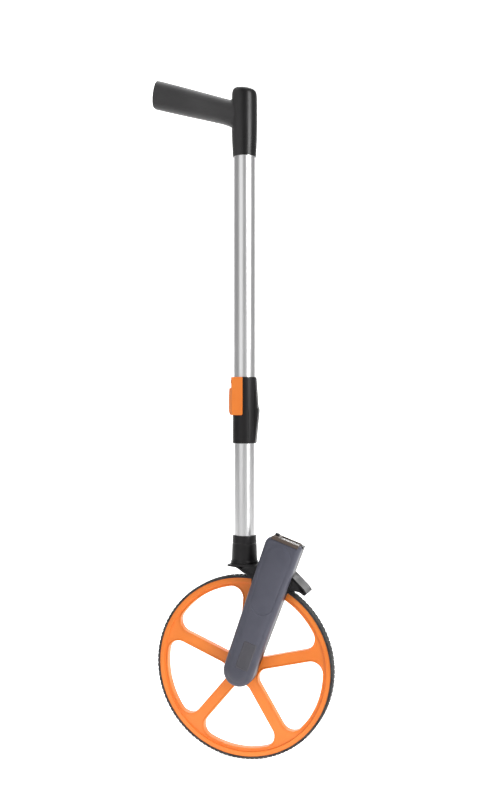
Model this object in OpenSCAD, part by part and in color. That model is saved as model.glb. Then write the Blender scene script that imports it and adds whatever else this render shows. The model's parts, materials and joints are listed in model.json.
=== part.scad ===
// Measuring wheel: a one-metre wheel on a single side arm, a belt-driven
// digit counter in the arm and a telescopic handle on a clamped tube.
// X points forward, away from the user, Y to the wheel's free side, Z up.

/* [Wheel] */
// Rolling diameter over the tyre, one metre around
wheel_d = 318.31; // [300:0.01:330]
// Tyre width
tyre_w = 18; // [14:1:30]
// Tyre thickness over the rim
tyre_t = 4; // [2:0.5:8]
// Number of tread ribs
tread_ribs = 120; // [0:1:180]
// Tread groove depth
tread_depth = 0.8; // [0:0.1:2]
// Number of spokes
spokes = 5; // [3:1:8]
// Spoke width
spoke_w = 20.5; // [12:0.5:40]
// Web and spoke thickness
web_t = 11; // [6:0.5:18]
// Radius of the outer edge of the spoke windows
window_r = 141; // [120:1:148]
// Window corner radius at the rim
window_outer_r = 20; // [5:1:30]
// Window corner radius at the hub
window_inner_r = 18; // [5:1:25]
// Angle of the first spoke above the forward direction
spoke_phase = 13.5; // [0:0.5:72]
// Hub radius
hub_r = 17; // [12:0.5:28]

/* [Arm] */
// Forward tilt of the arm from the tube
arm_tilt = 20; // [10:0.5:25]
// Arm length above the axle
arm_len = 241; // [200:1:280]
// Arm width at the top
arm_w_top = 63.5; // [50:0.5:80]
// Arm width beside the axle
arm_w_low = 54.5; // [45:0.5:70]
// Gap between the wheel's middle plane and the arm
arm_y0 = 11.5; // [11:0.5:18]
// Depth of the black chassis half
chassis_d = 14.5; // [10:0.5:20]
// Depth of the grey cover half
cover_d = 19; // [12:0.5:25]
// Wall thickness of both halves
wall = 2.6; // [1.5:0.1:4]
// Edge rounding of the grey cover
cover_round = 9; // [2:0.5:12]

/* [Crown] */
// Height of the crown's ridge above the axle
ridge_r = 199; // [180:1:210]
// Reach of the forward wing from the arm's middle line
wing_front = 63.5; // [60:0.5:80]
// Reach of the rear wing under the tube
wing_rear = 82.5; // [76:0.5:90]
// Width of the crown below its wings
crown_w = 62; // [50:1:80]
// Reach of the crown behind the wheel's middle plane
crown_back = 15; // [14:0.5:26]
// Clearance between tyre and crown
tyre_gap = 3.8; // [2:0.1:8]

/* [Tubes] */
// Outside diameter of the upper tube
upper_d = 38; // [30:0.5:45]
// Wall of the upper tube
upper_t = 0.8; // [0.8:0.1:2]
// Wall of the lower tube
lower_t = 1.2; // [0.8:0.1:2]
// Running clearance between the tubes, per side
tube_fit = 0.05; // [0.02:0.01:0.1]
// Height of the tube socket's foot above the ground
socket_z = 340; // [335:1:345]
// Height of the tube socket's top above the ground
socket_top = 388; // [370:1:400]
// Bottom of the clamp collar
collar_z0 = 548; // [500:1:560]
// Top of the clamp collar
collar_z1 = 663; // [640:1:680]

/* [Handle] */
// Bottom of the handle sleeve
sleeve_z0 = 1047; // [1000:1:1060]
// Top of the handle sleeve
sleeve_z1 = 1168; // [1150:1:1190]
// Largest radius of the sleeve
sleeve_r = 22.3; // [20:0.1:26]
// Radius at the sleeve's mouth
sleeve_mouth_r = 20.4; // [19.8:0.1:24]
// Height of the grip axis over the tube axis
grip_z = 1118; // [1100:1:1140]
// Rise of the grip towards its free end
grip_rise = 17.5; // [0:0.1:25]
// Grip length from the tube axis
grip_len = 175; // [130:1:190]
// Slant of the grip's end face
end_slant = 9; // [0:0.5:15]
// Grip height
grip_h = 50; // [36:0.5:56]
// Grip thickness
grip_t = 35; // [26:0.5:42]

/* [Counter] */
// Number of digit drums
drums = 5; // [3:1:6]
// Width of one drum with its gap
drum_pitch = 3.6; // [3:0.1:5]
// Drum radius
drum_r = 13.5; // [8:0.5:16]
// Radius of both belt pulleys
pulley_r = 11; // [8:0.5:14]
// Forward offset of the drums in the arm
drum_x = 5; // [0:1:8]
// Height of the drum shaft above the axle
drum_z = 220; // [200:1:224]

/* [Hidden] */
$fn = 96;
eps = 0.5;
wheel_r = wheel_d / 2;
rim_r = wheel_r - tyre_t;
spoke_step = 360 / spokes;
half_step = spoke_step / 2;
rim_w = tyre_w - 1.6;
rim_in_r = window_r + 6;
lip_w = 2.4;
lip_h = 0.9;
hub_y0 = -8;
hub_y1 = 12;
axle_r = 4;
flange_r = 9;
flange_t = 2;
bearing_r = 11;
bearing_w = 7;
barrel_r = 14.5;
barrel_y0 = -10;
barrel_y1 = -31;
split_y = -(arm_y0 + chassis_d);
front_y = split_y - cover_d;
chassis_y = -arm_y0;
belt_w = 4;
belt_t = 1.6;
belt_y = -38.8;
belt_gap = 0.1;
upper_r = upper_d / 2;
upper_in = upper_r - upper_t;
lower_r = upper_in - tube_fit;
lower_in = lower_r - lower_t;
lower_top = 722;
lower_foot = socket_z - 4;
upper_foot = collar_z0 + 8;
upper_top = sleeve_z1 - 20;
fit = 0.03;
collar_r = 21.4;
collar_grip_r = 20.6;
lever_x = -12;
lever_z = collar_z1 - 8;
lever_y0 = 22.3;
lever_y1 = 24.8;
lever_out = -23.6;
lever_in = lever_out + 2.8;
lever_edge = 3.4;
lever_corner = 8.6;
lever_z0 = 597;
shoe_z = 637;
shoe_h = 10;
shoe_w = 12;
drum_y0 = chassis_y - 4.5;
drum_bore = 2.5;
bezel_t = 4;
bezel_z = arm_len;
bezel_x = 2;
bezel_l = 48;
bezel_d = 27;
bezel_y = split_y - 2.2;
label_x = -6.5;
label_z = 7.5;
label_w = 24;
label_h = 50;
label_depth = 0.7;
screw_z = [38, 118, 196];
screw_x = 21;
post_r = 3.4;
pin_r = 2.5;
grip_screws = [-150, -95, -45];

// ---------------------------------------------------------------- helpers

// Solid of revolution about Y, profile given as [radius, y] pairs.
module turned(profile) {
    rotate([-90, 0, 0])
        rotate_extrude()
            polygon(profile);
}

// Cylinder along Y between two Y positions.
module rod_y(r, y0, y1) {
    translate([0, y0, 0])
        rotate([-90, 0, 0])
            cylinder(r = r, h = y1 - y0);
}

// Plate from a shape drawn in X and Z, between two Y positions.
module plate_y(y0, y1) {
    translate([0, y1, 0])
        rotate([90, 0, 0])
            linear_extrude(y1 - y0)
                children();
}

// Frame at the axle.
module at_axle() {
    translate([0, 0, wheel_r])
        children();
}

// Frame at the axle, turned so that Z runs up the arm.
module at_arm() {
    at_axle()
        rotate([0, arm_tilt, 0])
            children();
}

// Frame on the grip's axis, the grip running along -X.
module at_grip() {
    translate([0, 0, grip_z])
        rotate([0, grip_rise, 0])
            children();
}

// ------------------------------------------------------------------ wheel

// One rounded spoke window, on the bisector between two spokes.
module spoke_window(grow = 0) {
    ro = window_r + grow;
    rc = window_outer_r + grow;
    ri = window_inner_r + grow;
    h = spoke_w / 2 - grow;
    a = sqrt(pow(ro - rc, 2) - pow(h + rc, 2));
    q = (h + ri) / sin(half_step);
    b = q * cos(half_step);
    turn = half_step - atan2(h + rc, a);
    c = cos(half_step);
    s = sin(half_step);
    edge_in = [b * c + h * s, b * s - h * c];
    edge_out = [a * c + h * s, a * s - h * c];
    mid = [(ro - rc) * cos(turn), (ro - rc) * sin(turn)];
    far = [ro * cos(turn), ro * sin(turn)];
    union() {
        translate([q, 0])
            circle(r = ri);
        for (m = [0, 1])
            mirror([0, m])
                translate(mid)
                    circle(r = rc);
        polygon([[q, 0], edge_in, edge_out, mid, [mid[0], -mid[1]],
                 [edge_out[0], -edge_out[1]], [edge_in[0], -edge_in[1]]]);
        intersection() {
            circle(r = ro, $fn = 200);
            polygon([mid, far * 1.2, [far[0] * 1.2, -far[1] * 1.2],
                     [mid[0], -mid[1]]]);
        }
    }
}

module spoke_windows(grow = 0) {
    for (i = [0 : spokes - 1])
        rotate(spoke_phase + half_step + i * spoke_step)
            spoke_window(grow);
}

module wheel() {
    color("darkorange")
        at_axle()
            difference() {
                union() {
                    plate_y(-web_t / 2, web_t / 2)
                        difference() {
                            circle(r = rim_in_r + 1, $fn = 200);
                            spoke_windows();
                        }
                    plate_y(-web_t / 2 - lip_h, web_t / 2 + lip_h)
                        difference() {
                            intersection() {
                                spoke_windows(lip_w);
                                circle(r = rim_in_r - 1.5, $fn = 200);
                            }
                            spoke_windows();
                        }
                    rotate([90, 0, 0])
                        difference() {
                            cylinder(r = rim_r, h = rim_w, center = true,
                                     $fn = 200);
                            cylinder(r = rim_in_r, h = rim_w + eps,
                                     center = true, $fn = 200);
                        }
                    rod_y(hub_r, hub_y0, hub_y1);
                }
                rod_y(axle_r, hub_y0 - eps, hub_y1 + eps);
            }
}

module tyre() {
    color("#1c1c1e")
        at_axle()
            plate_y(-tyre_w / 2, tyre_w / 2)
                difference() {
                    circle(r = wheel_r, $fn = 200);
                    circle(r = rim_r, $fn = 200);
                    for (i = [0 : tread_ribs - 1])
                        rotate((i + 0.5) * 360 / tread_ribs)
                            translate([wheel_r - tread_depth, -1.1])
                                square([tread_depth * 2, 2.2]);
                }
}

module hub_cap() {
    color("#242426")
        at_axle()
            turned([[0, 22], [9, 22], [12.5, 20], [14.5, 16], [14.5, hub_y1],
                    [12.5, hub_y1], [12.5, 19], [0, 19]]);
}

module axle() {
    color("silver")
        at_axle()
            turned([[0, belt_y - 3], [axle_r, belt_y - 3], [axle_r, barrel_y1],
                    [axle_r, hub_y0 - flange_t], [flange_r, hub_y0 - flange_t],
                    [flange_r, hub_y0], [axle_r, hub_y0], [axle_r, 18],
                    [0, 18]]);
}

module axle_nut() {
    color("silver")
        at_axle()
            difference() {
                union() {
                    rod_y(7.2, hub_y1, hub_y1 + 1);
                    translate([0, hub_y1 + 1, 0])
                        rotate([-90, 0, 0])
                            cylinder(r = 6.6, h = 5, $fn = 6);
                }
                rod_y(axle_r, hub_y1 - eps, hub_y1 + 7);
            }
}

module hub_bearings() {
    color("gainsboro")
        at_axle()
            for (y = [barrel_y0 - 1.4 - bearing_w, barrel_y1 + 0.6])
                difference() {
                    rod_y(bearing_r, y, y + bearing_w);
                    rod_y(axle_r + fit, y - eps, y + bearing_w + eps);
                }
}

// ------------------------------------------------------------- belt drive

// Flanged pulley centred on the belt.
module pulley(bore) {
    difference() {
        turned([[0, belt_y - belt_w / 2 - 1], [pulley_r + 1.3, belt_y - belt_w / 2 - 1],
                [pulley_r + 1.3, belt_y - belt_w / 2 - 0.3], [pulley_r, belt_y - belt_w / 2 - 0.3],
                [pulley_r, belt_y + belt_w / 2 + 0.3],
                [pulley_r + 1.3, belt_y + belt_w / 2 + 0.3],
                [pulley_r + 1.3, belt_y + belt_w / 2 + 1], [0, belt_y + belt_w / 2 + 1]]);
        rod_y(bore, belt_y - belt_w, belt_y + belt_w);
    }
}

module drive_pulley() {
    color("#39393c")
        at_arm()
            pulley(axle_r);
}

module counter_pulley() {
    color("#39393c")
        at_arm()
            translate([drum_x, 0, drum_z])
                pulley(drum_bore);
}

// Flat loop around both pulleys.
module belt_loop(r) {
    span = sqrt(drum_x * drum_x + drum_z * drum_z);
    rotate(-atan2(drum_x, drum_z)) {
        circle(r = r);
        translate([0, span])
            circle(r = r);
        translate([-r, 0])
            square([2 * r, span]);
    }
}

module timing_belt() {
    color("#151517")
        at_arm()
            plate_y(belt_y - belt_w / 2, belt_y + belt_w / 2)
                difference() {
                    belt_loop(pulley_r + belt_gap + belt_t);
                    belt_loop(pulley_r + belt_gap);
                }
}

// -------------------------------------------------------------------- arm

// Outline of the arm seen from the side, with its rounded foot.
module arm_outline(inset = 0) {
    hl = arm_w_low / 2 - inset;
    ht = arm_w_top / 2 - inset;
    top = arm_len - inset;
    circle(r = hl);
    polygon([[-hl, 0], [hl, 0], [ht, top], [-ht + 15, top],
             [-ht + 5, top - 5], [-ht, top - 15]]);
}

module screw_posts(r, y0, y1) {
    for (z = screw_z, s = [-1, 1])
        translate([s * screw_x, 0, z])
            rod_y(r, y0, y1);
}

module arm_chassis() {
    color("#1b1c1f")
        at_arm()
            difference() {
                union() {
                    difference() {
                        plate_y(split_y, chassis_y)
                            arm_outline();
                        plate_y(split_y - eps, chassis_y - wall)
                            arm_outline(wall);
                    }
                    rod_y(barrel_r, barrel_y1, barrel_y0);
                    screw_posts(post_r, split_y, chassis_y - wall + eps);
                }
                rod_y(bearing_r, barrel_y1 - eps, barrel_y0 - 1.4);
                rod_y(flange_r + 0.6, barrel_y0 - 2, barrel_y0 + eps);
                screw_posts(1.5, split_y - eps, chassis_y + eps);
                screw_posts(3, chassis_y - 1.6, chassis_y + eps);
                for (s = [-1, 1])
                    translate([s * 11, 0, 176])
                        rod_y(2, split_y - eps, chassis_y + eps);
                bezel_cut();
            }
}

// Opening for the display bezel in the top wall of the arm.
module bezel_cut() {
    translate([bezel_x, bezel_y, arm_len])
        cube([bezel_l, bezel_d, 16], center = true);
}

// Rounded disc lying in the arm's side plane.
module rounded_disc(r, y0, y1, edge) {
    rotate([-90, 0, 0])
        translate([0, 0, y0])
            rotate_extrude($fn = 40) {
                translate([0, edge])
                    square([r, y1 - y0 - edge]);
                square([r - edge, edge + 0.01]);
                translate([r - edge, edge])
                    intersection() {
                        circle(r = edge, $fn = 24);
                        translate([0, -edge])
                            square([edge, edge + 0.01]);
                    }
            }
}

// Outer form of the grey cover, its front edge rounded.
module cover_form(inset) {
    hl = arm_w_low / 2 - inset;
    ht = arm_w_top / 2 - inset;
    top = arm_len - inset;
    edge = cover_round - inset;
    corner = edge + 2;
    y0 = front_y + inset;
    hull() {
        rounded_disc(hl, y0, split_y, edge);
        translate([ht - corner, 0, top - corner])
            rounded_disc(corner, y0, split_y, edge);
        translate([-ht + corner + 2, 0, top - corner - 2])
            rounded_disc(corner + 2, y0, split_y, edge);
        translate([ht - edge - 1, y0 + edge, top - 1])
            cube([edge + 1, split_y - y0 - edge, 1]);
    }
}

module arm_cover() {
    color("#5a5966")
        at_arm()
            difference() {
                cover_form(0);
                translate([0, eps, 0])
                    intersection() {
                        cover_form(wall);
                        translate([-60, front_y, -60])
                            cube([120, cover_d, 400]);
                    }
                plate_y(split_y - 1, split_y + eps)
                    arm_outline(wall);
                bezel_cut();
                translate([label_x, front_y - 1, label_z])
                    cube([label_w, 1 + label_depth, label_h]);
            }
    color("#5a5966")
        at_arm()
            difference() {
                screw_posts(post_r, front_y + 2, split_y);
                screw_posts(1.5, split_y - 9, split_y + eps);
            }
}

module cover_label() {
    color("#4b4a56")
        at_arm()
            translate([label_x + 0.2, front_y + 0.2, label_z + 0.2])
                cube([label_w - 0.4, label_depth - 0.2, label_h - 0.4]);
}

module cover_screws() {
    color("silver")
        at_arm() {
            screw_posts(1.5, split_y - 9, chassis_y - 1.6);
            difference() {
                screw_posts(2.8, chassis_y - 1.6, chassis_y - 0.2);
                for (z = screw_z, s = [-1, 1])
                    translate([s * screw_x, chassis_y, z]) {
                        cube([4, 1.2, 0.7], center = true);
                        cube([0.7, 1.2, 4], center = true);
                    }
            }
        }
}

// ------------------------------------------------------------------ crown

// The crown seen from the side: a roof over the tyre with two wings.
module crown_outline() {
    half = crown_w / 2;
    polygon([[0, ridge_r], [23.4, 188.9], [39, 182.1], [56.7, 174.3],
             [wing_front - 0.8, 170], [wing_front, 168.5],
             [wing_front - 2.3, 163.6], [52, 166], [44, 165], [38, 161.5],
             [half + 1.5, 156], [half - 1, 150], [half - 2, 140],
             [-half + 2, 140], [-half - 1, 147], [-half - 4, 156],
             [-half - 11, 158], [-53.8, 159], [-60, 161], [-67.2, 162],
             [-wing_rear, 158.6], [-wing_rear - 0.8, 160.5],
             [-wing_rear - 0.6, 161.6], [-37, 178.8], [-28, 186]]);
}

// Shallow recesses that stiffen the wings.
module wing_recesses() {
    polygon([[32, 182], [55, 172], [wing_front - 4.5, 167.6], [52, 168.6],
             [43, 167.8], [36, 163.6], [32, 160]]);
    polygon([[-36, 176], [-64, 165], [-53, 161.8], [-36, 160.6]]);
}

module crown() {
    tyre_room = wheel_r + tyre_gap;
    color("#1b1c1f")
        difference() {
            union() {
                at_arm()
                    plate_y(split_y + 0.5, crown_back)
                        crown_outline();
                translate([0, 0, socket_z - 6])
                    cylinder(r1 = 22, r2 = 24.6, h = 6);
            }
            at_axle() {
                rotate([90, 0, 0])
                    cylinder(r = tyre_room, h = tyre_w + 5, center = true,
                             $fn = 180);
            }
            at_arm() {
                plate_y(-60, chassis_y)
                    arm_outline(-0.05);
                for (s = [-1, 1])
                    translate([s * 11, 0, 176]) {
                        rod_y(2, chassis_y - 1, 26);
                        rod_y(4.2, 8, 26);
                    }
                for (y = [split_y + 0.4, crown_back - 1.6])
                    plate_y(y, y + 1.7)
                        wing_recesses();
            }
            translate([0, 0, lower_foot])
                cylinder(r = lower_r, h = 30);
            translate([0, 0, socket_z])
                cylinder(r = 40, h = 12);
        }
}

module crown_screws() {
    color("silver")
        at_arm()
            for (s = [-1, 1])
                translate([s * 11, 0, 176]) {
                    rod_y(2, split_y + 2, 8);
                    difference() {
                        rod_y(4, 8, 12);
                        translate([0, 10, 0])
                            rotate([-90, 0, 0])
                                cylinder(r = 2, h = 3, $fn = 6);
                    }
                }
}

// ---------------------------------------------------------------- counter

module counter_frame() {
    far_y = drum_y0 - drums * drum_pitch;
    color("#77777a")
        at_arm()
            difference() {
                union() {
                    for (y = [drum_y0 + 0.3, far_y - 1.5])
                        translate([drum_x - 11, y, drum_z - 22])
                            cube([22, 1.2, 30]);
                    translate([drum_x - 11, far_y - 1.5, drum_z - 22])
                        cube([22, drum_y0 - far_y + 3, 2]);
                    for (s = [-1, 1])
                        translate([drum_x + s * 8, 0, drum_z - 18])
                            rod_y(2, drum_y0 + 1.4, chassis_y - wall);
                }
                translate([drum_x, 0, drum_z])
                    rod_y(drum_bore + fit, far_y - 4, drum_y0 + 3);
            }
}

module counter_shaft() {
    color("silver")
        at_arm()
            translate([drum_x, 0, drum_z])
                rod_y(drum_bore, belt_y - 3, drum_y0 + 1.6);
}

// Digit drum number i, counted from the belt side.
module drum(i, bore) {
    y1 = drum_y0 - (drums - 1 - i) * drum_pitch - 0.1;
    y0 = y1 - drum_pitch + 0.4;
    color("ghostwhite")
        at_arm()
            translate([drum_x, 0, drum_z])
                difference() {
                    rod_y(drum_r, y0, y1);
                    rod_y(bore, y0 - eps, y1 + eps);
                    difference() {
                        rod_y(drum_r - 1.8, y0 - eps, y0 + 0.8);
                        rod_y(5, y0 - eps, y0 + 0.8);
                    }
                }
}

module drum_tenths() {
    drum(0, drum_bore);
}

module drum_metres() {
    drum(1, drum_bore + fit);
}

module drum_tens() {
    drum(2, drum_bore + fit);
}

module drum_hundreds() {
    drum(3, drum_bore + fit);
}

module drum_thousands() {
    drum(4, drum_bore + fit);
}

module display_bezel() {
    color("#4d4037")
        at_arm()
            difference() {
                translate([bezel_x, bezel_y, bezel_z - 1])
                    cube([bezel_l, bezel_d, 2 + bezel_t], center = true);
                translate([drum_x + 3, bezel_y, bezel_z])
                    cube([34, 22, 20], center = true);
                translate([-17, bezel_y, bezel_z - 6])
                    cylinder(r = 4 + fit, h = 12);
                translate([-22, bezel_y - 14.5, bezel_z + 1])
                    rotate([0, -45, 0])
                        cube([6, 30, 6]);
            }
}

module counter_window() {
    color("#dfe6e8", 0.6)
        at_arm()
            difference() {
                translate([drum_x + 3, bezel_y, bezel_z - 0.6])
                    cube([34, 22, 2.6], center = true);
                translate([drum_x + 3, bezel_y, bezel_z - 3])
                    cube([24, 16, 2.6], center = true);
            }
}

module reset_button() {
    color("#202024")
        at_arm()
            translate([-17, bezel_y, bezel_z - 7]) {
                cylinder(r = 4, h = 12.4);
                cylinder(r = 5.4, h = 2);
            }
}

// ------------------------------------------------------------------ tubes

module tube_socket() {
    color("#161618")
        difference() {
            rotate_extrude()
                polygon([[lower_r, socket_z], [23.8, socket_z], [23.8, socket_z + 3],
                         [22.6, socket_z + 5], [21.4, socket_top - 15],
                         [20.9, socket_top - 14.4], [20.9, socket_top - 13.6],
                         [21.3, socket_top - 13], [20.6, socket_top - 1],
                         [19.8, socket_top], [lower_r, socket_top]]);
            translate([0, 0, socket_z + 22])
                rod_y(2, 0, 30);
            translate([0, 0, socket_z + 22])
                rod_y(4, 20, 30);
        }
}

module socket_screw() {
    color("silver")
        translate([0, 0, socket_z + 22])
            difference() {
                union() {
                    rod_y(2, lower_in - 3, 20);
                    rod_y(3.8, 20, 22.2);
                }
                translate([0, 21, 0])
                    rotate([-90, 0, 0])
                        cylinder(r = 1.8, h = 3, $fn = 6);
            }
}

module lower_tube() {
    color("gainsboro")
        difference() {
            translate([0, 0, lower_foot])
                cylinder(r = lower_r, h = lower_top - lower_foot);
            translate([0, 0, lower_foot - eps])
                cylinder(r = lower_in, h = lower_top - lower_foot + 1);
            translate([0, 0, socket_z + 22])
                rod_y(2, 0, 30);
        }
}

module guide_bush() {
    color("#2a2a2c")
        difference() {
            union() {
                translate([0, 0, lower_top - 25])
                    cylinder(r = lower_in, h = 26);
                translate([0, 0, lower_top])
                    cylinder(r = lower_r, h = 5);
            }
            translate([0, 0, lower_top - 26])
                cylinder(r = lower_in - 2, h = 34);
        }
}

module upper_tube() {
    color("gainsboro")
        difference() {
            translate([0, 0, upper_foot])
                cylinder(r = upper_r, h = upper_top - upper_foot);
            translate([0, 0, upper_foot - eps])
                cylinder(r = upper_in, h = upper_top - upper_foot + 1);
            shoe_slot();
        }
}

module shoe_slot() {
    translate([-30, -shoe_w / 2 - 0.1, shoe_z - shoe_h / 2 - 0.1])
        cube([20, shoe_w + 0.2, shoe_h + 0.2]);
}

// ------------------------------------------------------------ clamp collar

// Shallow step that lets a finger reach under the lever.
module finger_recess() {
    top = 612;
    side = 13;
    corner = 10;
    difference() {
        plate_y(-30, 0) {
            translate([-30, collar_z0 - 1])
                square([30 + side, top - corner - collar_z0 + 1]);
            translate([-30, collar_z0 - 1])
                square([30 + side - corner, top - collar_z0 + 1]);
            translate([side - corner, top - corner])
                circle(r = corner);
        }
        translate([0, 0, collar_z0 - 2])
            cylinder(r = collar_grip_r, h = top);
    }
}

module collar() {
    h = collar_z1 - collar_z0;
    color("#202022")
        difference() {
            union() {
                translate([0, 0, collar_z0])
                    rotate_extrude()
                        polygon([[0, 0], [20.6, 0], [21, 1], [collar_r, 28],
                                 [collar_r, h - 3], [20.8, h], [0, h]]);
                plate_y(-5, 5)
                    polygon([[0, collar_z0 + 1], [20.8, collar_z0 + 1],
                             [26.3, 604], [26, 608], [24.6, 610.5],
                             [21, collar_z1 - 3], [0, collar_z1 - 3]]);
                translate([lever_x, 0, lever_z])
                    rod_y(6.5, -22, 22);
            }
            translate([0, 0, upper_foot])
                cylinder(r = upper_r, h = h);
            translate([0, 0, collar_z0 - eps])
                cylinder(r = lower_r + 0.1, h = h);
            shoe_slot();
            finger_recess();
            translate([lever_x, 0, lever_z]) {
                rod_y(pin_r, 17, 30);
                rod_y(pin_r, -30, -17);
            }
            translate([-30.5, 0, lever_z0 - 9])
                rod_y(12, -16, 16);
            translate([lever_in - 9.7, -30, lever_z0 - 3])
                cube([10, 60, lever_z - 6.5 - lever_z0]);
        }
}

// Side view of the lever's cheeks.
module lever_side() {
    polygon([[lever_out + 5, lever_z0], [lever_edge - 2, lever_z0],
             [lever_edge, lever_z0 + 2], [lever_edge, collar_z1 - 1.5],
             [lever_edge - 1.5, collar_z1], [lever_out + 6, collar_z1],
             [lever_out + 2.4, collar_z1 - 3], [lever_out, lever_z0 + 32],
             [lever_out, lever_z0 + 7], [lever_out + 1.6, lever_z0 + 2.6]]);
}

// Top view of the lever, its outer corners cut at 45 degrees.
module lever_plan(inset) {
    x = lever_out + inset;
    y = lever_y1 - inset;
    cut = lever_corner - 0.586 * inset;
    polygon([[x, -y + cut], [x + cut, -y], [x + 40, -y],
             [x + 40, y], [x + cut, y], [x, y - cut]]);
}

module lock_lever() {
    web_top = lever_z - 11;
    color("darkorange")
        difference() {
            intersection() {
                plate_y(-lever_y1, lever_y1)
                    lever_side();
                translate([0, 0, lever_z0 - 5])
                    linear_extrude(100)
                        lever_plan(0);
            }
            translate([0, 0, lever_z0 - 6])
                linear_extrude(102)
                    lever_plan(lever_y1 - lever_y0);
            translate([lever_out - 1, -lever_y0, web_top])
                cube([40, 2 * lever_y0, 30]);
            translate([lever_x, 0, lever_z]) {
                rod_y(pin_r + fit, 20, lever_y1 - 0.7);
                rod_y(pin_r + fit, -lever_y1 + 0.7, -20);
            }
        }
}

module lever_pins() {
    color("silver")
        translate([lever_x, 0, lever_z]) {
            rod_y(pin_r, 17, lever_y1 - 0.8);
            rod_y(pin_r, -lever_y1 + 0.8, -17);
        }
}

module brake_shoe() {
    color("#4a4a4d")
        intersection() {
            translate([lever_in + 0.4, -shoe_w / 2, shoe_z - shoe_h / 2])
                cube([8, shoe_w, shoe_h]);
            difference() {
                translate([0, 0, shoe_z - 10])
                    cylinder(r = 30, h = 20);
                translate([0, 0, shoe_z - 11])
                    cylinder(r = lower_r + 0.05, h = 22);
            }
        }
}

// ----------------------------------------------------------------- handle

// Oval bar along -X, its narrow edges round.
module grip_bar(r, h, len) {
    side = h / 2 - r;
    intersection() {
        union() {
            for (s = [-1, 1])
                translate([0, 0, s * side])
                    rotate([0, -90, 0])
                        cylinder(r = r, h = len + 12);
            plate_y(-r, r)
                translate([-len - 12, -side])
                    square([len + 12, 2 * side]);
        }
        translate([-len - 20, -50, -60])
            cube([len + 14, 100, 120]);
        translate([-len, 0, 0])
            rotate([0, -end_slant, 0])
                translate([0, -50, -60])
                    cube([len + 30, 100, 120]);
    }
}

module sleeve_form() {
    rotate_extrude()
        polygon([[0, sleeve_z0], [sleeve_mouth_r, sleeve_z0],
                 [sleeve_mouth_r + 0.5, sleeve_z0 + 8], [sleeve_r - 0.3, sleeve_z0 + 30],
                 [sleeve_r, sleeve_z0 + 40], [sleeve_r, sleeve_z1 - 8],
                 [sleeve_r - 1, sleeve_z1 - 4], [sleeve_r - 3.4, sleeve_z1 - 1.4],
                 [sleeve_r - 7, sleeve_z1], [0, sleeve_z1]]);
}

module grip_post(x, r, y0, y1) {
    at_grip()
        translate([x, 0, 0])
            rod_y(r, y0, y1);
}

// One half of the handle, side -1 in front and 1 behind.
module handle_half(side) {
    half_t = grip_t / 2;
    y0 = side > 0 ? 0 : -60;
    color("#1f1f21")
        difference() {
            intersection() {
                union() {
                    sleeve_form();
                    at_grip()
                        grip_bar(half_t, grip_h, grip_len);
                }
                translate([-220, y0, sleeve_z0 - 40])
                    cube([300, 60, 220]);
            }
            difference() {
                at_grip()
                    grip_bar(half_t - 3, grip_h - 6, grip_len - 3);
                translate([0, 0, sleeve_z0])
                    cylinder(r = upper_r + 2, h = 140);
                for (x = grip_screws)
                    grip_post(x, 4.5, -half_t, half_t);
            }
            translate([0, 0, sleeve_z0 - eps])
                cylinder(r = upper_r, h = upper_top - sleeve_z0 + eps);
            for (x = grip_screws)
                grip_post(x, 1.6, -half_t + 5, half_t + 1);
            for (x = grip_screws)
                grip_post(x, 3.4, half_t - 4, half_t + 1);
        }
}

module handle_front() {
    handle_half(-1);
}

module handle_rear() {
    handle_half(1);
}

module handle_screws() {
    half_t = grip_t / 2;
    color("silver")
        for (x = grip_screws)
            difference() {
                union() {
                    grip_post(x, 1.6, -half_t + 5, half_t - 4);
                    grip_post(x, 3.2, half_t - 4, half_t - 1.6);
                }
                at_grip()
                    translate([x, half_t - 2, 0]) {
                        cube([4.6, 1.6, 0.8], center = true);
                        cube([0.8, 1.6, 4.6], center = true);
                    }
            }
}

wheel();
tyre();
hub_cap();
axle();
axle_nut();
hub_bearings();
drive_pulley();
timing_belt();
arm_chassis();
arm_cover();
cover_label();
cover_screws();
crown();
crown_screws();
counter_frame();
counter_pulley();
counter_shaft();
drum_tenths();
drum_metres();
drum_tens();
drum_hundreds();
drum_thousands();
display_bezel();
counter_window();
reset_button();
tube_socket();
socket_screw();
lower_tube();
guide_bush();
upper_tube();
collar();
lock_lever();
lever_pins();
brake_shoe();
handle_front();
handle_rear();
handle_screws();
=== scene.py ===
import json
import math

import bmesh
import bpy
from mathutils import Matrix, Vector


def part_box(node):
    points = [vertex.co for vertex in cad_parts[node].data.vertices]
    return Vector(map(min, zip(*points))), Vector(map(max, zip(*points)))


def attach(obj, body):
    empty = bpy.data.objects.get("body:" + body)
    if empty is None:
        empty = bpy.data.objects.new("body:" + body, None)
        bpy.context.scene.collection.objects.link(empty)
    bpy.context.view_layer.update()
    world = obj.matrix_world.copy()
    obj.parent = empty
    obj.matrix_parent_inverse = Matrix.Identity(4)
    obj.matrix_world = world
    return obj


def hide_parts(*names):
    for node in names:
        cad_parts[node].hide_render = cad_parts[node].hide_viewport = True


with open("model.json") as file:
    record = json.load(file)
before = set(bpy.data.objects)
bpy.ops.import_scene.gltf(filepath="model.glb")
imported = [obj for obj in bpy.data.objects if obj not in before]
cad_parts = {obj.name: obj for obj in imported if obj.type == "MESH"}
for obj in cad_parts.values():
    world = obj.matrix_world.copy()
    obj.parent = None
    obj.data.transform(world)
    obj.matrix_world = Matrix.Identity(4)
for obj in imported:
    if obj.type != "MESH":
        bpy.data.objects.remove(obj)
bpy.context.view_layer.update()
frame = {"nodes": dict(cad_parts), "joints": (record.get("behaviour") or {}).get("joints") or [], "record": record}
NODES = frame["nodes"]
RECORD = frame["record"]

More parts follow.
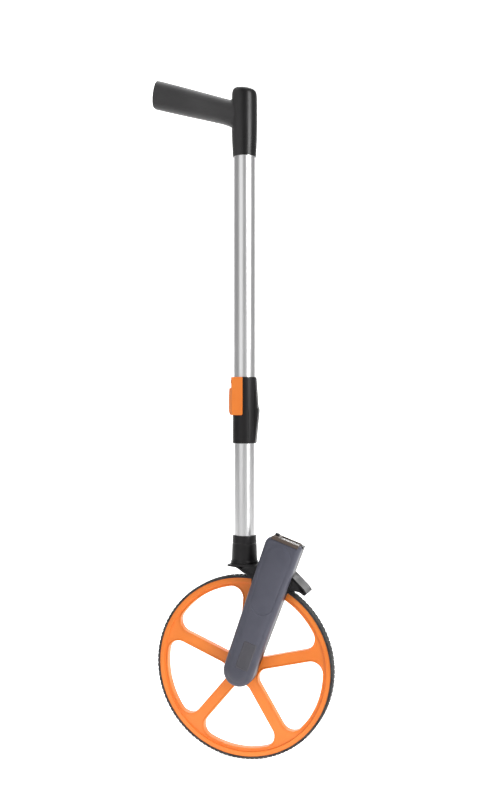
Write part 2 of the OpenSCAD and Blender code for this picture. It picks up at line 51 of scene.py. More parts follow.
# --------------------------------------------------------------- key places
MM = 0.001
YAW = math.radians(17.0)
AXLE = (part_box("tyre")[0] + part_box("tyre")[1]) / 2
JOINT = {j["name"]: j for j in frame["joints"]}
MOUNT = {m["name"]: m for m in RECORD["mounts"]}
PRESS = JOINT["reset_press"]["axis"]
ARM = Matrix.Translation((0, 0, AXLE.z)) @ Matrix.Rotation(math.atan2(-PRESS[0], -PRESS[2]), 4, "Y")
GRIP_DIR = Vector(MOUNT["grip"]["axis"]).normalized()
GRIP_AT = Vector(MOUNT["grip"]["pos_m"])
GRIP_ZERO = GRIP_AT - GRIP_DIR * (GRIP_AT.x / GRIP_DIR.x)
GRIP_UP = Vector((GRIP_DIR.z, 0, -GRIP_DIR.x))


def local_box(node, matrix):
    """Lowest and highest corner of a CAD node in another frame."""
    inverse = matrix.inverted()
    points = [inverse @ v.co for v in NODES[node].data.vertices]
    return (Vector([min(p[i] for p in points) for i in range(3)]),
            Vector([max(p[i] for p in points) for i in range(3)]))


# ---------------------------------------------------------------- materials
def node_tree(name):
    mat = bpy.data.materials.new(name)
    mat.use_nodes = True
    tree = mat.node_tree
    tree.nodes.clear()
    out = tree.nodes.new("ShaderNodeOutputMaterial")
    bsdf = tree.nodes.new("ShaderNodeBsdfPrincipled")
    tree.links.new(bsdf.outputs[0], out.inputs[0])
    return mat, tree, bsdf


def coords(tree, scale=(1, 1, 1)):
    tc = tree.nodes.new("ShaderNodeTexCoord")
    mp = tree.nodes.new("ShaderNodeMapping")
    mp.inputs["Scale"].default_value = scale
    tree.links.new(tc.outputs["Object"], mp.inputs["Vector"])
    return mp.outputs["Vector"]


def noise(tree, vector, scale, detail=3.0, rough=0.55):
    n = tree.nodes.new("ShaderNodeTexNoise")
    n.inputs["Scale"].default_value = scale
    n.inputs["Detail"].default_value = detail
    n.inputs["Roughness"].default_value = rough
    tree.links.new(vector, n.inputs["Vector"])
    return n.outputs[0]


def ramp(tree, value, stops):
    r = tree.nodes.new("ShaderNodeValToRGB")
    el = r.color_ramp.elements
    while len(el) < len(stops):
        el.new(0.5)
    for e, (pos, col) in zip(el, stops):
        e.position = pos
        e.color = (*col, 1) if len(col) == 3 else col
    tree.links.new(value, r.inputs[0])
    return r.outputs[0]


def remap(tree, value, lo, hi):
    m = tree.nodes.new("ShaderNodeMapRange")
    m.inputs["To Min"].default_value = lo
    m.inputs["To Max"].default_value = hi
    m.inputs["From Min"].default_value = 0.3
    m.inputs["From Max"].default_value = 0.7
    tree.links.new(value, m.inputs["Value"])
    return m.outputs[0]


def bump(tree, height, strength, distance, chain=None):
    b = tree.nodes.new("ShaderNodeBump")
    b.inputs["Strength"].default_value = strength
    b.inputs["Distance"].default_value = distance
    tree.links.new(height, b.inputs["Height"])
    if chain is not None:
        tree.links.new(chain, b.inputs["Normal"])
    return b.outputs[0]


def mix_color(tree, factor, a, b):
    m = tree.nodes.new("ShaderNodeMix")
    m.data_type = "RGBA"
    tree.links.new(factor, m.inputs["Factor"])
    for value, socket in ((a, m.inputs["A"]), (b, m.inputs["B"])):
        if isinstance(value, tuple):
            socket.default_value = (*value, 1)
        else:
            tree.links.new(value, socket)
    return m.outputs["Result"]


def fade(tree, value, start, end):
    """Smooth change from 0 at start to 1 at end."""
    m = tree.nodes.new("ShaderNodeMapRange")
    m.interpolation_type = "SMOOTHSTEP"
    m.inputs["From Min"].default_value = start
    m.inputs["From Max"].default_value = end
    tree.links.new(value, m.inputs["Value"])
    return m.outputs[0]


def math_node(tree, operation, *values):
    m = tree.nodes.new("ShaderNodeMath")
    m.operation = operation
    for socket, value in zip(m.inputs, values):
        if isinstance(value, float):
            socket.default_value = value
        else:
            tree.links.new(value, socket)
    return m.outputs[0]


def plastic(name, dark, light, rough, grain=900.0, grain_depth=0.00006, coat=0.0, spec=0.5):
    """Moulded plastic: slight colour drift, fine spark-eroded grain, handling sheen."""
    mat, tree, bsdf = node_tree(name)
    v = coords(tree)
    drift = noise(tree, v, 9.0, 4.0)
    color = ramp(tree, drift, [(0.35, dark), (0.65, light)])
    tree.links.new(color, bsdf.inputs["Base Color"])
    smear = noise(tree, v, 26.0, 5.0)
    tree.links.new(remap(tree, smear, rough - 0.05, rough + 0.07), bsdf.inputs["Roughness"])
    fine = noise(tree, v, grain, 2.0)
    wave = noise(tree, v, 45.0, 2.0)
    n1 = bump(tree, fine, 0.5, grain_depth)
    n2 = bump(tree, wave, 0.15, 0.0002, n1)
    tree.links.new(n2, bsdf.inputs["Normal"])
    bsdf.inputs["Specular IOR Level"].default_value = spec
    bsdf.inputs["Coat Weight"].default_value = coat
    bsdf.inputs["Coat Roughness"].default_value = 0.3
    return mat


def tube_metal(name):
    """Drawn and satin-anodised aluminium: lengthwise die lines and soft handling marks."""
    mat, tree, bsdf = node_tree(name)
    lines = noise(tree, coords(tree, (1, 1, 0.004)), 900.0, 3.0)
    cloud = noise(tree, coords(tree, (1, 1, 0.3)), 16.0, 4.0)
    base = ramp(tree, cloud, [(0.3, (0.88, 0.88, 0.885)), (0.7, (0.95, 0.95, 0.955))])
    line_color = ramp(tree, lines, [(0.3, (0.88, 0.88, 0.88)), (0.7, (1, 1, 1))])
    m = tree.nodes.new("ShaderNodeMix")
    m.data_type = "RGBA"
    m.blend_type = "MULTIPLY"
    m.inputs["Factor"].default_value = 1.0
    tree.links.new(base, m.inputs["A"])
    tree.links.new(line_color, m.inputs["B"])
    tree.links.new(m.outputs["Result"], bsdf.inputs["Base Color"])
    bsdf.inputs["Metallic"].default_value = 1.0
    tree.links.new(remap(tree, cloud, 0.27, 0.33), bsdf.inputs["Roughness"])
    tree.links.new(bump(tree, lines, 0.15, 0.00003), bsdf.inputs["Normal"])
    return mat


def handle_plastic(name):
    """Smooth dark sleeve that turns into the paler, finely grained grip; the grip's paler colour is partly a
    soft-touch finish and partly painted light that the grip catches.
    """
    mat, tree, bsdf = node_tree(name)
    v = coords(tree)
    split = tree.nodes.new("ShaderNodeSeparateXYZ")
    tree.links.new(v, split.inputs[0])
    grip = fade(tree, split.outputs["X"], 0.004, -0.009)
    drift = noise(tree, v, 9.0, 4.0)
    smooth = ramp(tree, drift, [(0.35, (0.005, 0.005, 0.0055)), (0.65, (0.010, 0.010, 0.0105))])
    # The grip's paler colour is partly its soft-touch finish and partly painted light that the grip face catches.
    grip_tone_and_painted_light = ramp(tree, drift, [(0.35, (0.038, 0.037, 0.038)), (0.65, (0.052, 0.051, 0.052))])
    tree.links.new(mix_color(tree, grip, smooth, grip_tone_and_painted_light), bsdf.inputs["Base Color"])
    smear = remap(tree, noise(tree, v, 26.0, 5.0), 0.26, 0.36)
    rise = math_node(tree, "MULTIPLY", grip, 0.16)
    tree.links.new(math_node(tree, "ADD", smear, rise), bsdf.inputs["Roughness"])
    tree.links.new(bump(tree, noise(tree, v, 700.0, 2.0), 0.5, 0.00005), bsdf.inputs["Normal"])
    bsdf.inputs["Specular IOR Level"].default_value = 0.4
    return mat


def steel(name):
    mat, tree, bsdf = node_tree(name)
    v = coords(tree)
    cloud = noise(tree, v, 60.0, 4.0)
    tree.links.new(ramp(tree, cloud, [(0.3, (0.50, 0.50, 0.49)), (0.7, (0.68, 0.68, 0.67))]),
                   bsdf.inputs["Base Color"])
    bsdf.inputs["Metallic"].default_value = 1.0
    tree.links.new(remap(tree, cloud, 0.25, 0.4), bsdf.inputs["Roughness"])
    tree.links.new(bump(tree, noise(tree, v, 700.0, 3.0), 0.3, 0.00005), bsdf.inputs["Normal"])
    return mat


def rubber(name):
    mat, tree, bsdf = node_tree(name)
    v = coords(tree)
    dust = noise(tree, v, 70.0, 6.0, 0.65)
    tree.links.new(ramp(tree, dust, [(0.4, (0.018, 0.018, 0.02)), (0.72, (0.07, 0.068, 0.065))]),
                   bsdf.inputs["Base Color"])
    tree.links.new(remap(tree, dust, 0.7, 0.85), bsdf.inputs["Roughness"])
    tree.links.new(bump(tree, noise(tree, v, 900.0, 4.0), 0.6, 0.0001), bsdf.inputs["Normal"])
    return mat


def clear_plastic(name):
    mat, tree, bsdf = node_tree(name)
    v = coords(tree)
    tint = ramp(tree, noise(tree, v, 30.0), [(0.3, (0.50, 0.46, 0.43)), (0.7, (0.56, 0.52, 0.49))])
    tree.links.new(tint, bsdf.inputs["Base Color"])
    tree.links.new(remap(tree, noise(tree, v, 50.0, 4.0), 0.16, 0.26), bsdf.inputs["Roughness"])
    bsdf.inputs["Transmission Weight"].default_value = 0.9
    bsdf.inputs["Specular IOR Level"].default_value = 0.2
    bsdf.inputs["IOR"].default_value = 1.45
    return mat


MAT = {
    "wheel_plastic": plastic("orange_plastic", (0.88, 0.205, 0.016), (0.95, 0.250, 0.024), 0.42,
                             coat=0.1),
    "tyre_rubber": rubber("tyre_rubber"),
    "black_plastic": plastic("black_plastic", (0.006, 0.0055, 0.006), (0.012, 0.011, 0.012), 0.36,
                             spec=0.35),
    "dark_plastic": plastic("dark_plastic", (0.014, 0.014, 0.016), (0.024, 0.024, 0.027), 0.5,
                            spec=0.4),
    # Bezel colour is painted shade: a dark brown standing for the orange bezel lying in shadow.
    "bezel_plastic": plastic("bezel_plastic", (0.080, 0.055, 0.042), (0.115, 0.082, 0.064), 0.45),
    "grey_plastic": plastic("grey_plastic", (0.068, 0.070, 0.094), (0.096, 0.098, 0.130), 0.42,
                            spec=0.4),
    "label_plastic": plastic("label_plastic", (0.060, 0.058, 0.070), (0.078, 0.076, 0.090), 0.35),
    "handle_plastic": handle_plastic("handle_plastic"),
    "drum_plastic": plastic("drum_plastic", (0.80, 0.80, 0.77), (0.88, 0.88, 0.86), 0.3),
    "clear_plastic": clear_plastic("clear_plastic"),
    "belt_rubber": rubber("belt_rubber"),
    "aluminium_tube": tube_metal("anodised_aluminium"),
    "steel": steel("zinc_steel"),
}


def paint(obj, slot_name):
    obj.data.materials.clear()
    obj.data.materials.append(MAT[slot_name])


SLOT_OF = {s["node"]: s["material_slot"] for s in RECORD["subparts"]}
for node_name, node_obj in NODES.items():
    paint(node_obj, SLOT_OF[node_name])


def soften(obj, width, segments=2, angle=35.0):
    """Small edge rounding that a moulded or machined piece has."""
    weld = obj.modifiers.new("weld", "WELD")
    weld.merge_threshold = 0.00001
    bev = obj.modifiers.new("bevel", "BEVEL")
    bev.width = width
    bev.segments = segments
    bev.limit_method = "ANGLE"
    bev.angle_limit = math.radians(angle)
    bev.harden_normals = False
    bev.miter_outer = "MITER_ARC"
    for p in obj.data.polygons:
        p.use_smooth = True
    sharp = obj.modifiers.new("normals", "WEIGHTED_NORMAL")
    sharp.keep_sharp = True


BEVELS = {
    "wheel": 0.0007, "tyre": 0.00025, "crown": 0.0009, "arm_chassis": 0.0009,
    "collar": 0.0007, "lock_lever": 0.0009, "tube_socket": 0.0004, "display_bezel": 0.0006,
    "hub_cap": 0.0006, "reset_button": 0.0004, "axle_nut": 0.0003,
}
for node_name, width in BEVELS.items():
    soften(NODES[node_name], width)


# ------------------------------------------------------------ mesh building
def mesh_object(name, bm):
    bmesh.ops.recalc_face_normals(bm, faces=bm.faces)
    mesh = bpy.data.meshes.new(name)
    bm.to_mesh(mesh)
    bm.free()
    for p in mesh.polygons:
        p.use_smooth = True
    obj = bpy.data.objects.new(name, mesh)
    bpy.context.scene.collection.objects.link(obj)
    return obj


def baked(obj):
    """Turns the object's modifiers into its mesh."""
    graph = bpy.context.evaluated_depsgraph_get()
    mesh = bpy.data.meshes.new_from_object(obj.evaluated_get(graph))
    obj.modifiers.clear()
    obj.data = mesh
    return obj


def remove(obj):
    bpy.data.objects.remove(obj)


def loft(bm, rings, cap=True):
    """Skins closed rings of points that have the same count."""
    rows = [[bm.verts.new(p) for p in ring] for ring in rings]
    for lower, upper in zip(rows, rows[1:]):
        n = len(lower)
        for i in range(n):
            bm.faces.new((lower[i], lower[(i + 1) % n], upper[(i + 1) % n], upper[i]))
    if cap:
        bm.faces.new(list(reversed(rows[0])))
        bm.faces.new(rows[-1])
    return rows


def cut_by(obj, cutters):
    """Cuts closed shapes out of the object and removes the shapes."""
    for cutter in cutters:
        mod = obj.modifiers.new("cut", "BOOLEAN")
        mod.operation = "DIFFERENCE"
        mod.solver = "MANIFOLD"
        mod.object = cutter
    baked(obj)
    for cutter in cutters:
        remove(cutter)
    return obj


def smoothstep(x):
    x = min(1.0, max(0.0, x))
    return x * x * (3 - 2 * x)


def finished(obj, body, slot_name, *nodes):
    """The object stands for CAD nodes, with their finish and on their body."""
    paint(obj, slot_name)
    if nodes:
        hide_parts(*nodes)
    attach(obj, body)
    return obj


# ------------------------------------------------------------------- handle
SLEEVE_Z0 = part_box("handle_front")[0].z
SLEEVE_LEAN = 0.11
LEAN_FROM, LEAN_OVER, LEAN_AXIS = 70 * MM, 50 * MM, -12 * MM
SLEEVE_PROFILE = [(-12, 20.4), (0, 20.4), (8, 20.9), (18, 21.5), (30, 22.0), (42, 22.3),
                  (60, 22.4), (90, 22.4), (108, 22.2), (113, 21.7), (117, 20.4), (119.5, 18.0),
                  (121, 14.0), (121.6, 8.0)]
GRIP_START = 4 * MM
GRIP_END = 174.5 * MM
GRIP_THICK = 17.4 * MM
GRIP_H0, GRIP_H1 = 21.6 * MM, 24.9 * MM
END_SLANT = math.tan(math.radians(9.0))
END_ROUND = 2.6 * MM
ROOT_FLARE = 9 * MM
ROOT_SWELL = 2.2 * MM
ROOT_REACH = 42 * MM
GRIP_POWER = 2.35
SEAM = 0.03 * MM
SEAM_GROOVE = 0.25 * MM
BLEND_VOXEL = 0.95 * MM
POCKET_R = 3.5 * MM
POCKET_DEPTH = 2.4 * MM


def sleeve_rings(count=72):
    rings = []
    for dz, r in SLEEVE_PROFILE:
        ring = []
        for i in range(count):
            a = 2 * math.pi * i / count
            x, y, z = r * MM * math.cos(a), r * MM * math.sin(a), SLEEVE_Z0 + dz * MM
            lean = smoothstep((z - SLEEVE_Z0 - LEAN_FROM) / LEAN_OVER)
            z -= SLEEVE_LEAN * (x - LEAN_AXIS) * lean
            ring.append(Vector((x, y, z)))
        rings.append(ring)
    return rings


def grip_rings(count=72, power=GRIP_POWER):
    """Oval rings along the grip, rounded over at the free end."""
    stations = [(GRIP_START + (GRIP_END - END_ROUND - GRIP_START) * i / 24, 0.0) for i in range(25)]
    for i in range(1, 8):
        a = math.pi / 2 * i / 7
        stations.append((GRIP_END - END_ROUND + END_ROUND * math.sin(a),
                         END_ROUND * (1 - math.cos(a))))
    rings = []
    for s, inset in stations:
        part = (s - GRIP_START) / (GRIP_END - GRIP_START)
        high = GRIP_H0 + (GRIP_H1 - GRIP_H0) * smoothstep(part) - inset
        high += ROOT_FLARE * max(0.0, 1 - s / ROOT_REACH) ** 2.5
        thick = GRIP_THICK - inset + ROOT_SWELL * max(0.0, 1 - s / ROOT_REACH) ** 2
        slant = END_SLANT * smoothstep((part - 0.35) / 0.65)
        ring = []
        for i in range(count):
            a = 2 * math.pi * i / count
            c, k = math.cos(a), math.sin(a)
            y = thick * math.copysign(abs(c) ** (2 / power), c)
            z = high * math.copysign(abs(k) ** (2 / power), k)
            ring.append(GRIP_ZERO + GRIP_DIR * (s + slant * z) + GRIP_UP * z + Vector((0, y, 0)))
        rings.append(ring)
    return rings


def handle_blank():
    """Sleeve and grip as one smooth body with a rounded junction."""
    bm = bmesh.new()
    loft(bm, sleeve_rings())
    loft(bm, grip_rings())
    blank = mesh_object("handle_blank", bm)
    voxel = blank.modifiers.new("voxel", "REMESH")
    voxel.mode = "VOXEL"
    voxel.voxel_size = BLEND_VOXEL
    voxel.use_smooth_shade = True
    smooth = blank.modifiers.new("smooth", "SMOOTH")
    smooth.factor = 0.6
    smooth.iterations = 12
    return baked(blank)


def handle_half_mesh(blank, name, side):
    """The blank on one side of the parting plane, cut off at the sleeve's mouth."""
    bm = bmesh.new()
    bm.from_mesh(blank.data)
    cuts = [((0, side * SEAM, 0), (0, -side, 0)), ((0, 0, SLEEVE_Z0), (0, 0, -1))]
    for place, normal in cuts:
        geom = bm.verts[:] + bm.edges[:] + bm.faces[:]
        bmesh.ops.bisect_plane(bm, geom=geom, plane_co=place, plane_no=normal, clear_outer=True)
        rim = [e for e in bm.edges if e.is_boundary]
        bmesh.ops.triangle_fill(bm, edges=rim, use_beauty=True, normal=normal)
    rim = set()
    for v in bm.verts:
        if abs(v.co.y - side * SEAM) < 1e-6 and any(abs(f.normal.y) < 0.9 for f in v.link_faces):
            rim.add(v)
    pulls = []
    for v in rim:
        n = Vector((0, 0, 0))
        for f in v.link_faces:
            if abs(f.normal.y) < 0.9:
                n += f.normal
        n.y = 0
        if n.length > 0:
            pulls.append((v, n.normalized()))
    for v, n in pulls:
        v.co -= n * SEAM_GROOVE
        v.co.z = max(v.co.z, SLEEVE_Z0)
    return mesh_object(name, bm)


def screw_places():
    """Distances of the handle screws along the grip."""
    marks = sorted((v.co - GRIP_ZERO).dot(GRIP_DIR) for v in NODES["handle_screws"].data.vertices)
    groups = [[marks[0]]]
    for m in marks[1:]:
        if m - groups[-1][-1] > 10 * MM:
            groups.append([])
        groups[-1].append(m)
    return [(g[0] + g[-1]) / 2 for g in groups]


def round_bar(name, start, end, radius, count=32):
    """A closed cylinder between two points."""
    axis = (end - start).normalized()
    side = axis.orthogonal().normalized()
    other = axis.cross(side)
    bm = bmesh.new()
    loft(bm, [[p + (side * math.cos(2 * math.pi * i / count)
                    + other * math.sin(2 * math.pi * i / count)) * radius
               for i in range(count)] for p in (start, end)])
    return mesh_object(name, bm)


def hard_edges(obj, angle=38.0):
    """Smooth shading that stops at sharp edges."""
    for e in obj.data.edges:
        e.use_edge_sharp = False
    obj.data.set_sharp_from_angle(angle=math.radians(angle))


def build_handle():
    blank = handle_blank()
    front = handle_half_mesh(blank, "handle_front_shell", -1)
    rear = handle_half_mesh(blank, "handle_rear_shell", 1)
    remove(blank)
    floor_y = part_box("handle_screws")[1].y - POCKET_DEPTH
    pockets = []
    for i, s in enumerate(screw_places()):
        middle = GRIP_ZERO + GRIP_DIR * s
        pockets.append(round_bar("pocket_%d" % i, middle + Vector((0, floor_y, 0)),
                                 middle + Vector((0, 30 * MM, 0)), POCKET_R))
    cut_by(rear, pockets)
    for obj, node in ((front, "handle_front"), (rear, "handle_rear")):
        hard_edges(obj)
        finished(obj, "handle", "handle_plastic", node)


build_handle()

# ---------------------------------------------------------------- arm cover
COVER_LO, COVER_HI = local_box("arm_cover", ARM)
EDGE_R = 9 * MM
CROWN_DROP = 2.6 * MM
FACE_SINK = 0.45 * MM
LABEL_PROUD = 0.4 * MM
FOOT_R = -COVER_LO.z
TOP = COVER_HI.z
HALF_TOP = COVER_HI.x
CORNER_R, COUNTER_CORNER_R = 6 * MM, 15 * MM
SHARPEST = 0.6 * MM
FRONT_Y, SPLIT_Y = COVER_LO.y, COVER_HI.y
WALL = 0.8 * MM
SPINE_TOP = TOP - HALF_TOP
PANEL_R = 23.0 * MM
PANEL_Z = 131.0 * MM
PANEL_TOP = TOP - 44 * MM
PANEL_DEPTH = 0.5 * MM
PANEL_WALL = 0.7 * MM
PANEL_FADE = 40 * MM
PANEL_WIDEN = 0.022
BEAD_W = 1.5 * MM
BEAD_H = 0.42 * MM
BEAD_FADE = 12 * MM
LABEL_SINK = 0.5 * MM
LABEL_GAP = 0.5 * MM
LABEL_LO, LABEL_HI = local_box("cover_label", ARM)
BEZEL_FLOOR = local_box("display_bezel", ARM)[0].z + 0.4 * MM


def cover_circles(inset):
    """The three corner circles of the outline: foot, top right and top left."""
    out = []
    corners = ((0, 0, FOOT_R, 0), (HALF_TOP, TOP, CORNER_R, 1),
               (-HALF_TOP, TOP, COUNTER_CORNER_R, -1))
    for x, z, r, sx in corners:
        keep = max(r - inset, SHARPEST)
        reach = r if r - inset > SHARPEST else keep + inset
        if sx:
            out.append((x - sx * reach, z - reach, keep))
        else:
            out.append((x, z, keep))
    return out


def cover_outline(inset, arc_steps=(70, 22, 30), line_steps=(240, 50, 240)):
    """Points round the outline, the same count for every inset."""
    circles = cover_circles(inset)
    normals = []
    for i in range(3):
        ax, az, ar = circles[i]
        bx, bz, br = circles[(i + 1) % 3]
        length = math.hypot(bx - ax, bz - az)
        along = math.atan2(bz - az, bx - ax)
        normals.append(along - math.acos((ar - br) / length))
    points = []
    for i in range(3):
        x, z, r = circles[i]
        a0, a1 = normals[i - 1], normals[i]
        while a1 < a0:
            a1 += 2 * math.pi
        while a1 - a0 > 2 * math.pi:
            a1 -= 2 * math.pi
        for k in range(arc_steps[i] + 1):
            a = a0 + (a1 - a0) * k / arc_steps[i]
            points.append((x + r * math.cos(a), z + r * math.sin(a)))
        nx, nz, nr = circles[(i + 1) % 3]
        sx, sz = points[-1]
        ex, ez = nx + nr * math.cos(a1), nz + nr * math.sin(a1)
        for k in range(1, line_steps[i]):
            t = k / line_steps[i]
            points.append((sx + (ex - sx) * t, sz + (ez - sz) * t))
    return points


def half_width(z):
    return FOOT_R + (HALF_TOP - FOOT_R) * min(1.0, max(0.0, z / TOP)) - EDGE_R


def face_y(x, z):
    """Front surface of the cover: slightly crowned across its width."""
    away = math.hypot(x, z - min(max(z, 0.0), SPINE_TOP))
    part = min(1.0, away / half_width(z))
    return FRONT_Y + FACE_SINK + CROWN_DROP * part ** 4


def panel_relief(x, z):
    """Depth of the upper panel, fading out upwards, less the bead along its lower end."""
    if z > PANEL_Z:
        inside = PANEL_R + PANEL_WIDEN * (z - PANEL_Z) - abs(x)
    else:
        inside = PANEL_R - math.hypot(x, z - PANEL_Z)
    depth = smoothstep(inside / PANEL_WALL) * smoothstep((PANEL_TOP - z) / PANEL_FADE)
    bead = smoothstep(1 - abs(inside + BEAD_W / 2) / BEAD_W)
    bead *= smoothstep(1 - (z - PANEL_Z) / BEAD_FADE)
    return PANEL_DEPTH * depth - BEAD_H * bead


def label_step(x, z, grow=0.0):
    """1 inside the rounded label recess."""
    cx, cz = (LABEL_LO.x + LABEL_HI.x) / 2, (LABEL_LO.z + LABEL_HI.z) / 2
    hx, hz = (LABEL_HI.x - LABEL_LO.x) / 2 + grow, (LABEL_HI.z - LABEL_LO.z) / 2 + grow
    r = 3 * MM
    dx, dz = max(abs(x - cx) - hx + r, 0.0), max(abs(z - cz) - hz + r, 0.0)
    return smoothstep((r - math.hypot(dx, dz)) / (0.9 * MM))


def cover_rings():
    """Outline points, inset and depth of each ring from the parting plane to the face."""
    edge_y = FRONT_Y + FACE_SINK + CROWN_DROP
    outer = cover_outline(0.0)
    for k in range(5):
        y = SPLIT_Y + (edge_y + EDGE_R - SPLIT_Y) * k / 4
        yield [(x, y, z) for x, z in outer]
    for k in range(1, 11):
        a = math.pi / 2 * k / 10
        ring = cover_outline(EDGE_R * (1 - math.cos(a)))
        yield [(x, edge_y + EDGE_R * (1 - math.sin(a)), z) for x, z in ring]
    rim = cover_outline(EDGE_R)
    for k in range(1, 45):
        f = k / 44
        ring = []
        for x, z in rim:
            foot = min(max(z, 0.0), SPINE_TOP)
            px, pz = x * (1 - f), z + (foot - z) * f
            y = face_y(px, pz)
            y += panel_relief(px, pz)
            y += LABEL_SINK * label_step(px, pz, LABEL_GAP)
            ring.append((px, y, pz))
        yield ring


def build_cover():
    bm = bmesh.new()
    loft(bm, [[ARM @ Vector(p) for p in ring] for ring in cover_rings()], cap=False)
    bmesh.ops.remove_doubles(bm, verts=bm.verts, dist=0.02 * MM)
    cover = mesh_object("arm_cover_shell", bm)
    thick = cover.modifiers.new("wall", "SOLIDIFY")
    thick.thickness = WALL
    thick.offset = -1.0
    thick.use_even_offset = False
    baked(cover)
    lo, hi = local_box("display_bezel", ARM)
    bm = bmesh.new()
    corners = [(lo.x, lo.y), (hi.x, lo.y), (hi.x, hi.y), (lo.x, hi.y)]
    loft(bm, [[ARM @ Vector((x, y, z)) for x, y in corners] for z in (BEZEL_FLOOR, TOP + 8 * MM)])
    cut_by(cover, [mesh_object("bezel_room", bm)])
    hard_edges(cover)
    finished(cover, "arm", "grey_plastic", "arm_cover")


def build_label():
    """A thin plate lying in the recess and following the crowned face."""
    nx, nz = 26, 52
    bm = bmesh.new()
    top, bottom = {}, {}
    for i in range(nx + 1):
        for k in range(nz + 1):
            x = LABEL_LO.x + (LABEL_HI.x - LABEL_LO.x) * i / nx
            z = LABEL_LO.z + (LABEL_HI.z - LABEL_LO.z) * k / nz
            rounded = 1 - label_step(x, z, -0.5 * MM)
            sunk = label_step(x, z, -2.2 * MM)
            y = face_y(x, z) - LABEL_PROUD + 0.9 * MM * rounded + 0.35 * MM * sunk
            top[i, k] = bm.verts.new(ARM @ Vector((x, y, z)))
            bottom[i, k] = bm.verts.new(ARM @ Vector((x, face_y(x, z) + 0.66 * MM, z)))
    for i in range(nx):
        for k in range(nz):
            bm.faces.new((top[i, k], top[i + 1, k], top[i + 1, k + 1], top[i, k + 1]))
            bm.faces.new((bottom[i, k], bottom[i, k + 1], bottom[i + 1, k + 1], bottom[i + 1, k]))
    loop = ([(i, 0) for i in range(nx)] + [(nx, k) for k in range(nz)]
            + [(i, nz) for i in range(nx, 0, -1)] + [(0, k) for k in range(nz, 0, -1)])
    for a, b in zip(loop, loop[1:] + loop[:1]):
        bm.faces.new((top[a], bottom[a], bottom[b], top[b]))
    label = mesh_object("cover_label_plate", bm)
    hard_edges(label)
    finished(label, "arm", "label_plastic", "cover_label")


build_cover()
build_label()

# ------------------------------------------------------------- drum figures
DRUMS = {"drum_tenths": "counter_drive", "drum_metres": "drum_2", "drum_tens": "drum_3",
         "drum_hundreds": "drum_4", "drum_thousands": "drum_5"}
DRUM_AT = Vector(JOINT["counter_spin"]["pos_m"])


def figure_mesh(char, height):
    """A figure as a flat mesh in its own plane, cut into strips that can bend."""
    curve = bpy.data.curves.new("figure", "FONT")
    curve.body = char
    curve.size = height
    curve.align_x, curve.align_y = "CENTER", "CENTER"
    obj = bpy.data.objects.new("figure", curve)
    bpy.context.scene.collection.objects.link(obj)
    graph = bpy.context.evaluated_depsgraph_get()
    graph.update()
    mesh = bpy.data.meshes.new_from_object(obj.evaluated_get(graph))
    remove(obj)
    bm = bmesh.new()
    bm.from_mesh(mesh)
    for k in range(-4, 5):
        geom = bm.verts[:] + bm.edges[:] + bm.faces[:]
        bmesh.ops.bisect_plane(bm, geom=geom, plane_co=(0, k * height / 9, 0), plane_no=(0, 1, 0))
    bm.to_mesh(mesh)
    bm.free()
    return mesh


def build_figures():
    height = 5.6 * MM
    shapes = [figure_mesh(str(n), height) for n in range(10)]
    for node, body in DRUMS.items():
        lo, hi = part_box(node)
        radius = (hi.z - lo.z) / 2 + 0.03 * MM
        mid_y = (lo.y + hi.y) / 2
        squeeze = (hi.y - lo.y) * 0.78 / (height * 0.62)
        bm = bmesh.new()
        for n, shape in enumerate(shapes):
            base = 2 * math.pi * n / 10 + math.radians(20)
            verts = []
            for v in shape.vertices:
                a = base + v.co.y / radius
                verts.append(bm.verts.new((DRUM_AT.x + radius * math.sin(a),
                                           mid_y + v.co.x * squeeze,
                                           DRUM_AT.z + radius * math.cos(a))))
            for p in shape.polygons:
                bm.faces.new([verts[i] for i in p.vertices])
        obj = mesh_object(node + "_figures", bm)
        thick = obj.modifiers.new("ink", "SOLIDIFY")
        thick.thickness = 0.06 * MM
        thick.offset = 0.0
        baked(obj)
        finished(obj, body, "dark_plastic")


build_figures()

# -------------------------------------------------------------------- stage
def floor():
    """A pale sweep: flat under the object, curving up behind it, square to the camera."""
    bm = bmesh.new()
    profile = [(-7.0, 0.0), (-2.0, 0.0), (-0.4, 0.0), (1.2, 0.0)]
    for i in range(1, 13):
        a = math.pi / 2 * i / 12
        profile.append((1.2 + 1.5 * math.sin(a), 1.5 - 1.5 * math.cos(a)))
    profile.append((2.7, 8.0))
    rows = [[bm.verts.new((x, y, z)) for x in (-7.0, 0.0, 7.0)] for y, z in profile]
    for lower, upper in zip(rows, rows[1:]):
        for i in range(2):
            bm.faces.new((lower[i], lower[i + 1], upper[i + 1], upper[i]))
    mesh = bpy.data.meshes.new("floor")
    bm.to_mesh(mesh)
    bm.free()
    for p in mesh.polygons:
        p.use_smooth = True
    obj = bpy.data.objects.new("floor", mesh)
    obj.rotation_euler = (0, 0, YAW)
    bpy.context.scene.collection.objects.link(obj)
    mat, tree, bsdf = node_tree("floor_paper")
    v = coords(tree)
    paper = ramp(tree, noise(tree, v, 3.0), [(0.3, (0.78, 0.78, 0.78)), (0.7, (0.81, 0.81, 0.81))])
    tree.links.new(paper, bsdf.inputs["Base Color"])
    bsdf.inputs["Roughness"].default_value = 0.9
    bsdf.inputs["Specular IOR Level"].default_value = 0.1
    # The paper's emission is painted light: a glow behind the object that keeps the backdrop white.
    bsdf.inputs["Emission Color"].default_value = (1, 1, 1, 1)
    tree.links.new(lit_patch(tree, v), bsdf.inputs["Emission Strength"])
    mesh.materials.append(mat)
    return obj


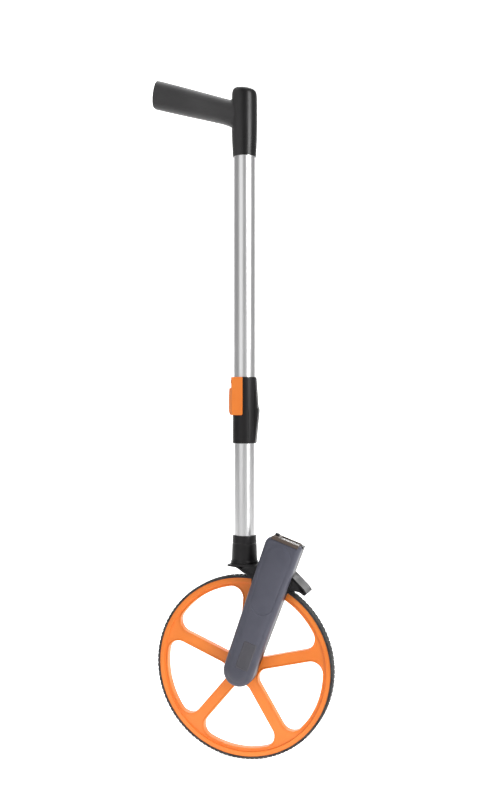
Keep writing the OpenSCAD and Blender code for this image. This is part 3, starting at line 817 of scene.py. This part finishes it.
def lit_patch(tree, vector, glow=0.92):
    """Painted glow on the paper behind the object, fading out to the sides and front."""
    split = tree.nodes.new("ShaderNodeSeparateXYZ")
    tree.links.new(vector, split.inputs[0])
    across = math_node(tree, "ABSOLUTE", split.outputs["X"])
    side = fade(tree, across, 1.9, 1.45)
    deep = fade(tree, split.outputs["Y"], -0.5, 0.0)
    return math_node(tree, "MULTIPLY", math_node(tree, "MULTIPLY", side, deep), glow)


floor()


def area_light(name, place, aim, size, power, size_y=None):
    data = bpy.data.lights.new(name, "AREA")
    data.energy = power
    data.size = size
    if size_y is not None:
        data.shape = "RECTANGLE"
        data.size_y = size_y
    obj = bpy.data.objects.new(name, data)
    obj.location = place
    obj.rotation_euler = (Vector(aim) - Vector(place)).to_track_quat("-Z", "Y").to_euler()
    bpy.context.scene.collection.objects.link(obj)
    return obj


MIDDLE = (0, 0, 0.6)
area_light("strip_right", (1.9, -1.08, 0.75), MIDDLE, 0.24, 8, 2.4)
area_light("soft_right", (2.3, -1.15, 1.7), MIDDLE, 1.3, 42, 1.6)
area_light("soft_left", (-1.0, -2.7, 1.3), MIDDLE, 2.2, 10.0, 2.2)
area_light("top", (0.1, 0.2, 3.2), (0, 0.2, 0), 2.4, 30, 2.0)
area_light("backdrop", (-0.5, 0.9, 3.4), (-0.9, 2.6, 0.6), 4.0, 45, 1.0)

world = bpy.data.worlds.new("studio")
bpy.context.scene.world = world
world.use_nodes = True
world.node_tree.nodes["Background"].inputs[0].default_value = (1, 1, 1, 1)
world.node_tree.nodes["Background"].inputs[1].default_value = 0.30
bpy.context.scene.view_settings.view_transform = "Standard"

# ------------------------------------------------------------------- camera
DISTANCE = 1.73
EYE_Z = 0.6266
FOCAL_PX = 991.0
FRAME_HEIGHT_PX = 796.0
SIDESTEP = 0.0096
SENSOR = 36.0
back = Vector((math.sin(YAW), -math.cos(YAW), 0))
right = Vector((math.cos(YAW), math.sin(YAW), 0))
cam_data = bpy.data.cameras.new("camera")
cam = bpy.data.objects.new("camera", cam_data)
bpy.context.scene.collection.objects.link(cam)
cam.location = back * DISTANCE + right * SIDESTEP + Vector((0, 0, EYE_Z))
cam.rotation_euler = (-back).to_track_quat("-Z", "Y").to_euler()
cam_data.sensor_width = SENSOR
cam_data.lens = SENSOR * FOCAL_PX / FRAME_HEIGHT_PX
bpy.context.scene.camera = cam
